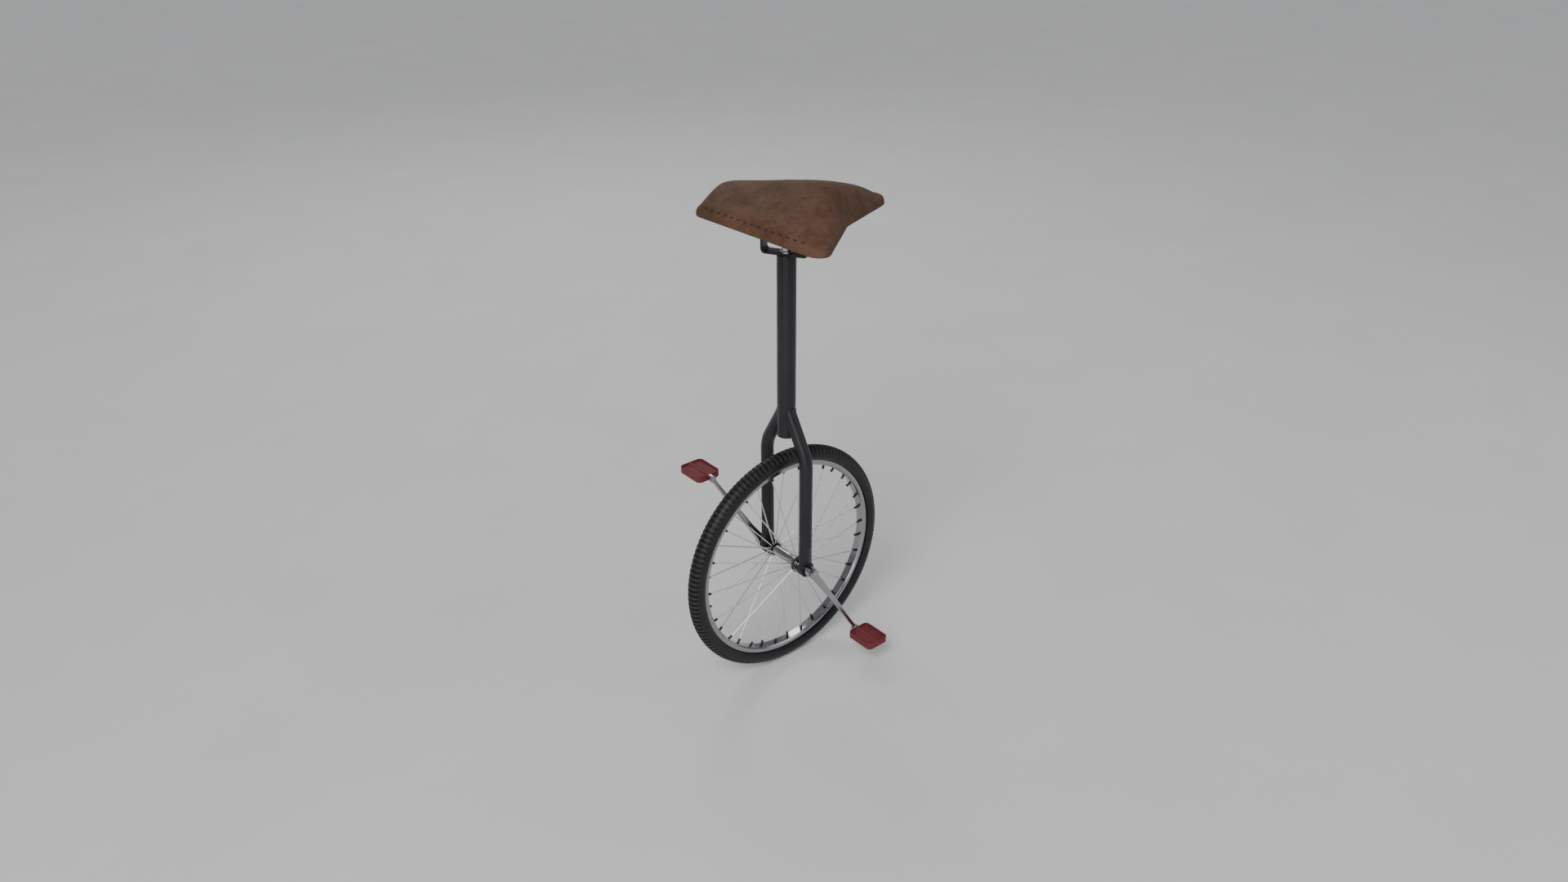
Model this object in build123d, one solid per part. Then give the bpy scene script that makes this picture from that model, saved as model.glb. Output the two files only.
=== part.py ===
from build123d import *
from math import atan2, cos, degrees, radians, sin, sqrt
import os

# A 16-inch unicycle in millimetres.  The origin is the point where the tyre touches the
# ground, +Z is up, the axle lies along Y and the wheel rolls along X.  The rider's left
# side is -Y.  The saddle is stored turned on its post.

# ------------------------------------------------------------------ driving sizes
FIT_GAP = 0.02               # between a piece and the hole or seat that locates it
FACE_GAP = 0.05              # between faces that butt
LOOSE_GAP = 0.1              # where a piece only has to clear its neighbour
PAST = 1.0                   # how far a cutting form runs past the face that it opens

WHEEL_R = 203.0              # outside radius of the inflated tyre
TYRE_SECTION_R = 14.5        # radius of the tyre's round section
TYRE_WALL = 2.9
BEAD_OUTER_HALF = 7.6        # half width over the beads, inside the rim
BEAD_INNER_HALF = 4.4
BEAD_R = 173.4               # radius at the foot of the beads
TUBE_SECTION_R = 11.1        # inner tube, inflated
TUBE_WALL = 1.0

RIM_BED_R = 170.0            # radius of the rim's side that faces the hub
RIM_EDGE_R = 179.5
RIM_HALF_WIDTH = 9.3
RIM_WALL = 1.4
RIM_CORNER = 2.4             # bevel between bed and side wall
TAPE_R = 174.0
TAPE_THICKNESS = 0.8
TAPE_HALF_WIDTH = 4.0

SPOKE_COUNT = 36
SPOKE_R = 1.0
FIRST_SPOKE_ANGLE = 1.3      # degrees up from +X
SPOKE_HUB_R = 11.8           # radius of the flange's hole circle
SPOKE_HUB_Y = 28.9           # where a spoke leaves the inside of its flange
SPOKE_RIM_Y = 1.2            # how far the nipples stand off the rim's middle
SPOKE_END_R = 169.0
SPOKE_HEAD_R = 1.9
SPOKE_HEAD_THICKNESS = 0.8
NIPPLE_R = 2.0
NIPPLE_START_R = 162.0
NIPPLE_HEAD_BASE_R = 172.0
NIPPLE_HEAD_R = 2.8
NIPPLE_HEAD_THICKNESS = 1.3
NIPPLE_HOLE_R = 2.6

VALVE_ANGLE = 76.3           # degrees up from +X, midway between two spokes
VALVE_R = 3.0
VALVE_INNER_END_R = 140.0
VALVE_COLLAR_R = 3.8
VALVE_CAP_R = 4.0
VALVE_CAP_LENGTH = 10.0
VALVE_CAP_DEPTH = 7.5

AXLE_R = 5.98
AXLE_ROUND_HALF = 55.9
AXLE_SQUARE = 9.0
AXLE_SQUARE_END = 67.5
AXLE_STUD_R = 4.0
AXLE_STUD_END = 74.5
SHELL_R = 8.5
SHELL_HALF = 33.2
FLANGE_R = 14.5
FLANGE_Y = 31.5
FLANGE_THICKNESS = 3.0
SPACER_R = 7.2

BEARING_BORE_R = 6.0         # deep-groove ball bearing, 12 x 21 x 5
BEARING_OUTER_R = 10.5
BEARING_WIDTH = 5.0
BEARING_Y = 49.0
INNER_RACE_R = 7.3
OUTER_RACE_R = 9.2
BALL_R = 1.2
BALL_PITCH_R = 8.25
BALL_COUNT = 13
BALL_PLAY = 0.06
CAGE_INNER_R = 7.85
CAGE_OUTER_R = 8.65
CAGE_WIDTH = 4.0
SEAL_THICKNESS = 1.0
SEAL_INNER_R = 7.6
SEAL_OFFSET = 4.5            # seals stand this far from the bearing's middle
HOUSING_R = 13.5
HOUSING_WIDTH = 12.0
HOUSING_BORE_R = 10.52

SEAT_TUBE_R = 15.1
SEAT_TUBE_BORE_R = 13.1
SEAT_TUBE_BOTTOM = 435.5
SEAT_TUBE_TOP = 739.7
SEAT_TUBE_FOOT_R = 14.7      # the foot is turned down for the fork legs to be brazed on
SEAT_TUBE_FOOT_TOP = 490.0
LEG_R = 10.75
LEG_WALL = 1.5
LEG_Y = 49.0
LEG_CORNER_Z = 407.4         # where the upright and the slanted run would meet
LEG_SLANT = 0.59             # sideways per height on the slanted run
LEG_BEND_R = 60.0
LEG_TOP_Y = 5.0              # the run goes on this far into the seat tube before the mitre
LEG_TUBE_START = 45.0        # height above the axle where the round tube begins
LEG_FLAT_MID = 27.0
LEG_FLAT_END = 8.0
LEG_MID_HALVES = (12.2, 8.4)
LEG_END_HALVES = (13.4, 6.0)

CRANK_LENGTH = 187.0
CRANK_ANGLE = 57.6           # left crank, degrees below +X
CRANK_PLANE_Y = 70.0
CRANK_BOSS_R = 9.0
CRANK_BOSS_Y = (56.0, 69.0)
CRANK_EYE_R = 6.0
CRANK_EYE_Y = (66.0, 74.0)
CRANK_ROOT_Y = 63.4          # the arm leaves the boss here and bends out to its own plane
CRANK_BEND_END = 44.0        # distance from the axle where that bend ends
CRANK_ROOT = (10.0, 14.0)    # thickness along Y and width at the boss
CRANK_MIDDLE = (7.4, 10.5)   # where the bend ends
CRANK_TIP = (7.0, 6.6)
CRANK_EDGE_R = 2.6
CRANK_BEND_STEPS = 8
CRANK_NUT_FLATS = 14.0
CRANK_NUT_THICKNESS = 6.0

PEDAL_Y = 103.0              # middle of the pedal along Y
PEDAL_HALF_LENGTH = 27.4     # along Y
PEDAL_HALF_WIDTH = 22.3      # along X
PEDAL_HALF_THICKNESS = 5.5
PEDAL_CORNER_R = 8.0
PEDAL_RIM = 1.8
PEDAL_WEB_HALF = 2.4
PEDAL_BARREL_R = 5.0
PEDAL_BORE_R = 3.77
PEDAL_POCKET_R = 4.3
PEDAL_POCKET_Y = 117.0
PEDAL_CAP_THICKNESS = 2.4
BUSH_R = 3.75
BUSH_BORE_R = 3.05
BUSH_LENGTH = 8.0
BUSH_STARTS = (76.2, 107.5)
SPINDLE_R = 3.0
SPINDLE_THREAD_R = 4.0
SPINDLE_COLLAR_R = 5.4
SPINDLE_COLLAR_Y = (74.1, 75.3)
SPINDLE_END_R = 2.0
SPINDLE_STEP_Y = 118.5
SPINDLE_END_Y = 123.5
PEDAL_NUT_FLATS = 7.0
PEDAL_NUT_Y = (118.6, 122.0)

STEM_R = 13.05
STEM_BORE_R = 11.0
STEM_TOP = 740.0
STEM_BOTTOM = 604.0
STEM_PLUG_THICKNESS = 12.0
WEDGE_BOTTOM = 584.0
WEDGE_SLOPE = 30.0           # degrees from level of the cut between stem and wedge
BOLT_R = 4.0
BOLT_BOTTOM = 588.0
BOLT_HEAD_FLATS = 13.0
BOLT_HEAD_THICKNESS = 5.5
BOLT_CLEARANCE_R = 4.2
WASHER_R = 10.0
WASHER_THICKNESS = 1.6

SADDLE_YAW = 119.2           # nose direction, degrees from +X towards +Y
SADDLE_NOSE_U = 115.3        # u runs along the saddle, positive at the nose
SADDLE_NOSE_HALF = 74.7      # half widths up to the corners, before they are rounded
SADDLE_NOSE_HEM_Z = 809.3
SADDLE_NOSE_CORNER_R = 12.8
SADDLE_REAR_U = -116.0
SADDLE_REAR_HALF = 156.0
SADDLE_REAR_HEM_Z = 792.2
SADDLE_LOBE_R = 19.9
SADDLE_NOTCH_U = -94.9       # the rear edge is a shallow V, this deep on the middle line
PLAN_SLACK = 0.5             # how far the rounded plan clears the sides that it trims
COVER_THICKNESS = 2.4
PAD_GAP = 0.6
BASE_FLOOR = 5.0             # base plate: height of its underside over the hem plane
BASE_THICKNESS = 3.0
BASE_INSET = 3.6
UNDERSIDE_DROP = 12.0        # how far inner forms run on below the hem before they are trimmed
HEM_RISE = 5.0               # height of the cover's lower edge where its side turns under
HEM_TUCK = 1.5
SIDE_SHARE = 0.55            # part of the shoulder's height where the side is 0.95 of the hem's
CREST_SHARE = 0.26           # fall of the crown at 0.42 of the half width, over its whole fall
# station u, height of the ridge, height of the shoulder, shoulder v over hem v
SADDLE_STATIONS = [
    (SADDLE_NOSE_U, 829.0, 818.5, 0.88),
    (104.0, 836.0, 823.0, 0.88),
    (72.0, 839.7, 823.7, 0.88),
    (36.0, 843.8, 824.7, 0.88),
    (0.0, 848.2, 825.3, 0.88),
    (-40.0, 850.0, 823.5, 0.88),
    (-76.0, 841.0, 815.5, 0.88),
    (-98.0, 826.0, 805.5, 0.88),
    (SADDLE_REAR_U, 812.0, 799.0, 0.88),
]

STRAP_WIDTH = 22.0
STRAP_THICKNESS = 3.2
STRAP_BOTTOM = 740.3
STRAP_HALF_SPAN = 36.4       # middle of each upright along u
STRAP_FLANGE_END = 64.0
STRAP_BEND_R = 6.0
STRAP_BASE_GAP = 0.05
RIVET_U = 53.0
RIVET_V = 6.0
RIVET_R = 2.5
RIVET_HEAD_R = 4.4
RIVET_HEAD_THICKNESS = 1.8

# ------------------------------------------------------------------ worked-out sizes
TYRE_CENTRE_R = WHEEL_R - TYRE_SECTION_R
SIDES = {"left": -1, "right": 1}
AXLE = Axis((0, 0, 0), (0, 1, 0))
WHEEL_SECTION = Plane(origin=(0, 0, 0), x_dir=(0, 1, 0), z_dir=(1, 0, 0))
TO_HUB = Pos(0, 0, WHEEL_R)
HEM_SLOPE = (SADDLE_NOSE_HEM_Z - SADDLE_REAR_HEM_Z) / (SADDLE_NOSE_U - SADDLE_REAR_U)
TRIM_SIZE = 400.0            # side of the blocks that trim the saddle's pieces

parts = {}


# ------------------------------------------------------------------ helpers
def rod(radius, start, end):
    """A round bar between two points."""
    run = Vector(end) - Vector(start)
    return extrude(Plane(origin=start, z_dir=run) * Circle(radius), amount=run.length)


def disc(radius, y_a, y_b, x=0.0, z=0.0):
    """A round bar along Y."""
    return rod(radius, (x, min(y_a, y_b), z), (x, max(y_a, y_b), z))


def ring(outer, inner, y_a, y_b, x=0.0, z=0.0):
    """A tube along Y."""
    bore = disc(inner, min(y_a, y_b) - PAST, max(y_a, y_b) + PAST, x, z)
    return disc(outer, y_a, y_b, x, z) - bore


def hex_bar(flats, y_a, y_b, x=0.0, z=0.0):
    """A hexagonal bar along Y."""
    start = min(y_a, y_b)
    face = Plane(origin=(x, start, z), z_dir=(0, 1, 0)) * RegularPolygon(flats / sqrt(3), 6)
    return extrude(face, amount=abs(y_b - y_a))


def spun(section):
    """Turn a section drawn as (along the axle, distance from it) about the axle."""
    return revolve(WHEEL_SECTION * section, axis=AXLE)


def around(shape, angle):
    """Turn a wheel piece from +X up towards +Z by an angle in degrees."""
    return Rot(0, -angle, 0) * shape


def polar(radius, angle):
    """X and Z of a point on the wheel, the angle measured up from +X."""
    return radius * cos(radians(angle)), radius * sin(radians(angle))


def group(solids):
    """Separate solids kept together as one piece of the list."""
    return Compound(children=list(solids))


# ------------------------------------------------------------------ wheel
def tyre():
    outer_drop = TYRE_CENTRE_R - RIM_EDGE_R - 0.4
    outer_half = sqrt(TYRE_SECTION_R ** 2 - outer_drop ** 2)
    inner_r = TYRE_SECTION_R - TYRE_WALL
    inner_drop = sqrt(inner_r ** 2 - BEAD_INNER_HALF ** 2)
    shelf = TYRE_CENTRE_R - outer_drop
    throat = TYRE_CENTRE_R - inner_drop
    outline = [
        ThreePointArc((-outer_half, shelf), (0, WHEEL_R), (outer_half, shelf)),
        Polyline((outer_half, shelf), (BEAD_OUTER_HALF, shelf), (BEAD_OUTER_HALF, BEAD_R),
                 (BEAD_INNER_HALF, BEAD_R), (BEAD_INNER_HALF, throat)),
        ThreePointArc((BEAD_INNER_HALF, throat), (0, TYRE_CENTRE_R + inner_r),
                      (-BEAD_INNER_HALF, throat)),
        Polyline((-BEAD_INNER_HALF, throat), (-BEAD_INNER_HALF, BEAD_R),
                 (-BEAD_OUTER_HALF, BEAD_R), (-BEAD_OUTER_HALF, shelf), (-outer_half, shelf)),
    ]
    return spun(make_face(Curve() + outline))


def valve_hole(radius):
    return rod(radius, (VALVE_INNER_END_R, 0, 0), (TYRE_CENTRE_R, 0, 0))


def rim():
    bed = RIM_HALF_WIDTH - RIM_CORNER
    inner_half = RIM_HALF_WIDTH - RIM_WALL
    inner_bed = bed - RIM_WALL / 2
    floor = RIM_BED_R + RIM_WALL
    side = [
        (bed, RIM_BED_R),
        (RIM_HALF_WIDTH, RIM_BED_R + RIM_CORNER),
        (RIM_HALF_WIDTH, RIM_EDGE_R),
        (inner_half, RIM_EDGE_R),
        (inner_half, RIM_BED_R + RIM_CORNER + RIM_WALL / 2),
        (inner_bed, floor),
    ]
    mirrored = [(-y, r) for y, r in reversed(side)]
    section = make_face(Polyline(*side, *mirrored, close=True))
    section = fillet(section.vertices(), 0.6)
    hoop = spun(section)
    for number in range(SPOKE_COUNT):
        y = -SPOKE_RIM_Y if number % 2 == 0 else SPOKE_RIM_Y
        hole = rod(NIPPLE_HOLE_R, (RIM_BED_R - 3, y, 0), (RIM_BED_R + 4, y, 0))
        hoop -= around(hole, FIRST_SPOKE_ANGLE + number * 360 / SPOKE_COUNT)
    return hoop - around(valve_hole(VALVE_R + 0.4), VALVE_ANGLE)


def rim_tape():
    band = Pos(0, TAPE_R + TAPE_THICKNESS / 2) * Rectangle(2 * TAPE_HALF_WIDTH, TAPE_THICKNESS)
    return spun(band) - around(valve_hole(VALVE_R + 0.2), VALVE_ANGLE)


def inner_tube():
    """The inflated tube, hollow and closed."""
    section = Circle(TUBE_SECTION_R) - Circle(TUBE_SECTION_R - TUBE_WALL)
    return spun(Pos(0, TYRE_CENTRE_R) * section)


def valve_stem():
    """The valve, with the collar that joins it to the inner tube."""
    foot = TYRE_CENTRE_R - TUBE_SECTION_R - LOOSE_GAP
    collar = TAPE_R + TAPE_THICKNESS + 0.2
    stem = rod(VALVE_R, (VALVE_INNER_END_R, 0, 0), (foot, 0, 0))
    return around(stem + rod(VALVE_COLLAR_R, (collar, 0, 0), (foot, 0, 0)), VALVE_ANGLE)


def valve_cap():
    start = VALVE_INNER_END_R - (VALVE_CAP_LENGTH - VALVE_CAP_DEPTH)
    cap = rod(VALVE_CAP_R, (start, 0, 0), (start + VALVE_CAP_LENGTH, 0, 0))
    cap = fillet(cap.edges().sort_by(Axis.X)[0], 0.8)
    bore = rod(VALVE_R + FACE_GAP, (VALVE_INNER_END_R - FACE_GAP, 0, 0), (VALVE_INNER_END_R + 20, 0, 0))
    return around(cap - bore, VALVE_ANGLE)


def spoke_line(side):
    """Hub end and rim end of a spoke that points along +X, and its unit direction."""
    start = Vector(SPOKE_HUB_R, side * SPOKE_HUB_Y, 0)
    slope = (SPOKE_RIM_Y - SPOKE_HUB_Y) / (RIM_BED_R - SPOKE_HUB_R)
    end = Vector(SPOKE_END_R, side * (SPOKE_HUB_Y + slope * (SPOKE_END_R - SPOKE_HUB_R)), 0)
    return start, end, (end - start).normalized()


def spoke(side):
    start, end, _ = spoke_line(side)
    face = FLANGE_Y + FLANGE_THICKNESS / 2
    run = rod(SPOKE_R, start, end)
    elbow = Pos(start) * Sphere(SPOKE_R)
    neck = disc(SPOKE_R, side * SPOKE_HUB_Y, side * (face + 0.4), x=SPOKE_HUB_R)
    head = disc(SPOKE_HEAD_R, side * (face + FACE_GAP), side * (face + SPOKE_HEAD_THICKNESS),
                x=SPOKE_HUB_R)
    return run + elbow + neck + head


def nipple(side):
    _, end, along = spoke_line(side)
    foot = end + along * (NIPPLE_START_R - SPOKE_END_R)
    top = end + along * (NIPPLE_HEAD_BASE_R - SPOKE_END_R)
    crown = top + along * NIPPLE_HEAD_THICKNESS
    body = rod(NIPPLE_R, foot, top)
    body += rod(NIPPLE_HEAD_R, top, crown)
    inside = foot - along
    return body - rod(SPOKE_R + FACE_GAP, inside, (end + along * 0.2))


def spoke_angles(side):
    """Rim angles of the spokes that go to one flange."""
    first = 0 if side < 0 else 1
    pitch = 360 / SPOKE_COUNT
    return [FIRST_SPOKE_ANGLE + pitch * number for number in range(first, SPOKE_COUNT, 2)]


def hub_flange(side):
    inner = side * (FLANGE_Y - FLANGE_THICKNESS / 2)
    outer = side * (FLANGE_Y + FLANGE_THICKNESS / 2)
    plate = ring(FLANGE_R, SHELL_R + FIT_GAP, inner, outer)
    hole = disc(SPOKE_R + LOOSE_GAP, inner - side, outer + side, x=SPOKE_HUB_R)
    for angle in spoke_angles(side):
        plate -= around(hole, angle)
    return plate


def hub_shell():
    return ring(SHELL_R, AXLE_R + FIT_GAP, -SHELL_HALF, SHELL_HALF)


def hub_axle():
    """The axle, with square ends that lie in line with the cranks."""
    axle = disc(AXLE_R, -AXLE_ROUND_HALF, AXLE_ROUND_HALF)
    square_length = AXLE_SQUARE_END - AXLE_ROUND_HALF + 1
    square = Box(AXLE_SQUARE, square_length, AXLE_SQUARE)
    for side in SIDES.values():
        axle += Pos(0, side * (AXLE_SQUARE_END - square_length / 2), 0) * square
    axle += disc(AXLE_STUD_R, -AXLE_STUD_END, AXLE_STUD_END)
    return around(axle, -CRANK_ANGLE)


def axle_spacers(side):
    """The sleeves on both sides of a bearing that keep its inner race in place."""
    inner_face = BEARING_Y - BEARING_WIDTH / 2 - LOOSE_GAP
    outer_face = BEARING_Y + BEARING_WIDTH / 2 + LOOSE_GAP
    inside = ring(SPACER_R, AXLE_R + FIT_GAP, side * (SHELL_HALF + LOOSE_GAP), side * inner_face)
    outside = ring(SPACER_R, AXLE_R + FIT_GAP, side * outer_face, side * (AXLE_ROUND_HALF - 1.1))
    return group([inside, outside])


# ------------------------------------------------------------------ bearings
def groove(play):
    """The channel that the balls run in."""
    return spun(Pos(0, BALL_PITCH_R) * Circle(BALL_R + play))


def race(outer, inner, play, side):
    half = BEARING_WIDTH / 2
    return Pos(0, side * BEARING_Y, 0) * (ring(outer, inner, -half, half) - groove(play))


def bearing_balls(side):
    balls = []
    for number in range(BALL_COUNT):
        x, z = polar(BALL_PITCH_R, number * 360 / BALL_COUNT)
        balls.append(Pos(x, side * BEARING_Y, z) * Sphere(BALL_R))
    return group(balls)


def ball_cage(side):
    cage = ring(CAGE_OUTER_R, CAGE_INNER_R, -CAGE_WIDTH / 2, CAGE_WIDTH / 2)
    pocket = rod(BALL_R + FACE_GAP, (CAGE_INNER_R - 2, 0, 0), (CAGE_OUTER_R + 2, 0, 0))
    for number in range(BALL_COUNT):
        cage -= around(pocket, number * 360 / BALL_COUNT)
    return Pos(0, side * BEARING_Y, 0) * cage


def bearing_seals(side):
    rings = []
    for offset in (-SEAL_OFFSET, SEAL_OFFSET):
        middle = side * (BEARING_Y + offset)
        rings.append(ring(HOUSING_BORE_R - FIT_GAP, SEAL_INNER_R, middle - SEAL_THICKNESS / 2,
                          middle + SEAL_THICKNESS / 2))
    return group(rings)


# ------------------------------------------------------------------ cranks and pedals
def blend(start, end, share):
    return start + (end - start) * share


def arm_section(side, rho, y, thickness, width):
    plane = Plane(origin=(rho, side * y, 0), x_dir=(0, 1, 0), z_dir=(1, 0, 0))
    return plane * RectangleRounded(thickness, width, CRANK_EDGE_R)


def crank(side):
    sections = []
    for step in range(CRANK_BEND_STEPS + 1):
        share = step / CRANK_BEND_STEPS
        ease = share * share * (3 - 2 * share)
        thickness, width = (blend(a, b, share) for a, b in zip(CRANK_ROOT, CRANK_MIDDLE))
        rho = blend(1.0, CRANK_BEND_END, share)
        y = blend(CRANK_ROOT_Y, CRANK_PLANE_Y, ease)
        sections.append(arm_section(side, rho, y, thickness, width))
    sections.append(arm_section(side, CRANK_LENGTH - 2.0, CRANK_PLANE_Y, *CRANK_TIP))
    arm = loft(sections, ruled=True)
    boss = disc(CRANK_BOSS_R, side * CRANK_BOSS_Y[0], side * CRANK_BOSS_Y[1])
    eye = disc(CRANK_EYE_R, side * CRANK_EYE_Y[0], side * CRANK_EYE_Y[1], x=CRANK_LENGTH)
    arm = arm + boss + eye
    gap = AXLE_SQUARE + LOOSE_GAP
    arm -= Pos(0, side * CRANK_PLANE_Y, 0) * Box(gap, 40, gap)
    eye_bore = disc(SPINDLE_THREAD_R + FIT_GAP, side * 60, side * 80, x=CRANK_LENGTH)
    return arm - eye_bore


def crank_nut(side):
    inner = side * (CRANK_BOSS_Y[1] + FACE_GAP)
    outer = inner + side * CRANK_NUT_THICKNESS
    return hex_bar(CRANK_NUT_FLATS, inner, outer) - disc(AXLE_STUD_R + FIT_GAP, inner, outer * 1.1)


def pedal_spindle(side):
    start = side * CRANK_EYE_Y[0]
    spindle = disc(SPINDLE_THREAD_R, start, side * SPINDLE_COLLAR_Y[1])
    spindle += disc(SPINDLE_COLLAR_R, side * SPINDLE_COLLAR_Y[0], side * SPINDLE_COLLAR_Y[1])
    spindle += disc(SPINDLE_R, start, side * SPINDLE_STEP_Y)
    spindle += disc(SPINDLE_END_R, start, side * SPINDLE_END_Y)
    return spindle


def pedal_body(side):
    length = 2 * PEDAL_HALF_LENGTH
    width = 2 * PEDAL_HALF_WIDTH
    outline = RectangleRounded(width, length, PEDAL_CORNER_R)
    block = extrude(outline, amount=PEDAL_HALF_THICKNESS, both=True)
    block = fillet(block.edges().group_by(Axis.Z)[-1] + block.edges().group_by(Axis.Z)[0], 0.7)
    well = RectangleRounded(width - 2 * PEDAL_RIM, length - 2 * PEDAL_RIM,
                            PEDAL_CORNER_R - PEDAL_RIM)
    depth = PEDAL_HALF_THICKNESS - PEDAL_WEB_HALF
    block -= Pos(0, 0, PEDAL_WEB_HALF) * extrude(well, amount=depth + 1)
    block -= Pos(0, 0, -PEDAL_WEB_HALF) * extrude(well, amount=-depth - 1)
    barrel_half = PEDAL_HALF_LENGTH - PEDAL_RIM / 2
    block += disc(PEDAL_BARREL_R, -barrel_half, barrel_half)
    block = Pos(0, side * PEDAL_Y, 0) * block
    inner_end = PEDAL_Y - PEDAL_HALF_LENGTH - PAST
    outer_end = PEDAL_Y + PEDAL_HALF_LENGTH + PAST
    block -= disc(PEDAL_BORE_R, side * inner_end, side * (PEDAL_POCKET_Y + PAST))
    return block - disc(PEDAL_POCKET_R, side * PEDAL_POCKET_Y, side * outer_end)


def pedal_bushes(side):
    bushes = []
    for start in BUSH_STARTS:
        bushes.append(ring(BUSH_R, BUSH_BORE_R, side * start, side * (start + BUSH_LENGTH)))
    return group(bushes)


def pedal_nut(side):
    inner, outer = (side * y for y in PEDAL_NUT_Y)
    return hex_bar(PEDAL_NUT_FLATS, inner, outer) - disc(SPINDLE_END_R + FIT_GAP, inner, outer * 1.1)


def pedal_cap(side):
    end = PEDAL_Y + PEDAL_HALF_LENGTH
    return disc(PEDAL_POCKET_R - FIT_GAP, side * (end - PEDAL_CAP_THICKNESS), side * (end - LOOSE_GAP))


# ------------------------------------------------------------------ frame
def seat_tube():
    tube = rod(SEAT_TUBE_R, (0, 0, SEAT_TUBE_FOOT_TOP), (0, 0, SEAT_TUBE_TOP))
    tube += rod(SEAT_TUBE_FOOT_R, (0, 0, SEAT_TUBE_BOTTOM), (0, 0, SEAT_TUBE_FOOT_TOP + PAST))
    bore = rod(SEAT_TUBE_BORE_R, (0, 0, SEAT_TUBE_BOTTOM - PAST), (0, 0, SEAT_TUBE_TOP + PAST))
    return tube - bore


def fork_leg(side):
    start_z = WHEEL_R + LEG_TUBE_START
    top_z = LEG_CORNER_Z + (LEG_Y - LEG_TOP_Y) / LEG_SLANT
    path = FilletPolyline((0, side * LEG_Y, start_z), (0, side * LEG_Y, LEG_CORNER_Z),
                          (0, side * LEG_TOP_Y, top_z), radius=LEG_BEND_R)
    wall = Circle(LEG_R) - Circle(LEG_R - LEG_WALL)
    tube = sweep(Plane(origin=(0, side * LEG_Y, start_z)) * wall, path=path)
    flat = loft([
        Plane(origin=(0, side * LEG_Y, start_z)) * Circle(LEG_R),
        Plane(origin=(0, side * LEG_Y, WHEEL_R + LEG_FLAT_MID)) * Ellipse(*LEG_MID_HALVES),
        Plane(origin=(0, side * LEG_Y, WHEEL_R + LEG_FLAT_END)) * Ellipse(*LEG_END_HALVES),
    ])
    seat_ends = (side * (LEG_Y - HOUSING_R), side * (LEG_Y + HOUSING_R))
    flat -= disc(HOUSING_R + FIT_GAP, *seat_ends, z=WHEEL_R)
    mitre = rod(SEAT_TUBE_FOOT_R + FIT_GAP, (0, 0, WHEEL_R), (0, 0, SEAT_TUBE_TOP))
    return (tube - mitre) + flat


def bearing_housing(side):
    half = HOUSING_WIDTH / 2
    return ring(HOUSING_R, HOUSING_BORE_R, side * BEARING_Y - half, side * BEARING_Y + half)


# ------------------------------------------------------------------ saddle post
def slope_cut(above):
    """Everything on one side of the sloping face between stem and wedge."""
    big = 60.0
    block = Box(big, big, big, align=(Align.CENTER, Align.CENTER, Align.MIN if above else Align.MAX))
    gap = -FACE_GAP if above else FACE_GAP
    return Pos(0, 0, STEM_BOTTOM + gap) * (Rot(0, WEDGE_SLOPE, 0) * block)


def stem_tube():
    tube = rod(STEM_R, (0, 0, WEDGE_BOTTOM), (0, 0, STEM_TOP - FACE_GAP)) \
        - rod(STEM_BORE_R, (0, 0, WEDGE_BOTTOM - 1), (0, 0, STEM_TOP + 1))
    return tube - slope_cut(False)


def stem_plug():
    plug = rod(STEM_BORE_R - FIT_GAP, (0, 0, STEM_TOP - STEM_PLUG_THICKNESS), (0, 0, STEM_TOP))
    return plug - rod(BOLT_R + FACE_GAP, (0, 0, STEM_TOP - 40), (0, 0, STEM_TOP + 1))


def expander_wedge():
    wedge = rod(STEM_R, (0, 0, WEDGE_BOTTOM), (0, 0, STEM_BOTTOM + 20)) - slope_cut(True)
    return wedge - rod(BOLT_R + FIT_GAP, (0, 0, WEDGE_BOTTOM - 1), (0, 0, STEM_BOTTOM + 30))


def clamp_bolt():
    seat = STRAP_BOTTOM + STRAP_THICKNESS + WASHER_THICKNESS + 0.4
    head = extrude(Plane(origin=(0, 0, seat)) * RegularPolygon(BOLT_HEAD_FLATS / sqrt(3), 6),
                   amount=BOLT_HEAD_THICKNESS)
    return head + rod(BOLT_R, (0, 0, BOLT_BOTTOM), (0, 0, seat + 1))


def clamp_washer():
    foot = STRAP_BOTTOM + STRAP_THICKNESS + LOOSE_GAP
    return rod(WASHER_R, (0, 0, foot), (0, 0, foot + WASHER_THICKNESS)) \
        - rod(BOLT_CLEARANCE_R, (0, 0, foot - 1), (0, 0, foot + 5))


# ------------------------------------------------------------------ saddle
def hem_z(u):
    """Height of the saddle's lower edge at a station."""
    return SADDLE_REAR_HEM_Z + HEM_SLOPE * (u - SADDLE_REAR_U)


def hem_half(u):
    """Half width of the saddle at a station: its sides run straight in plan."""
    share = (u - SADDLE_REAR_U) / (SADDLE_NOSE_U - SADDLE_REAR_U)
    return SADDLE_REAR_HALF + share * (SADDLE_NOSE_HALF - SADDLE_REAR_HALF)


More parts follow.
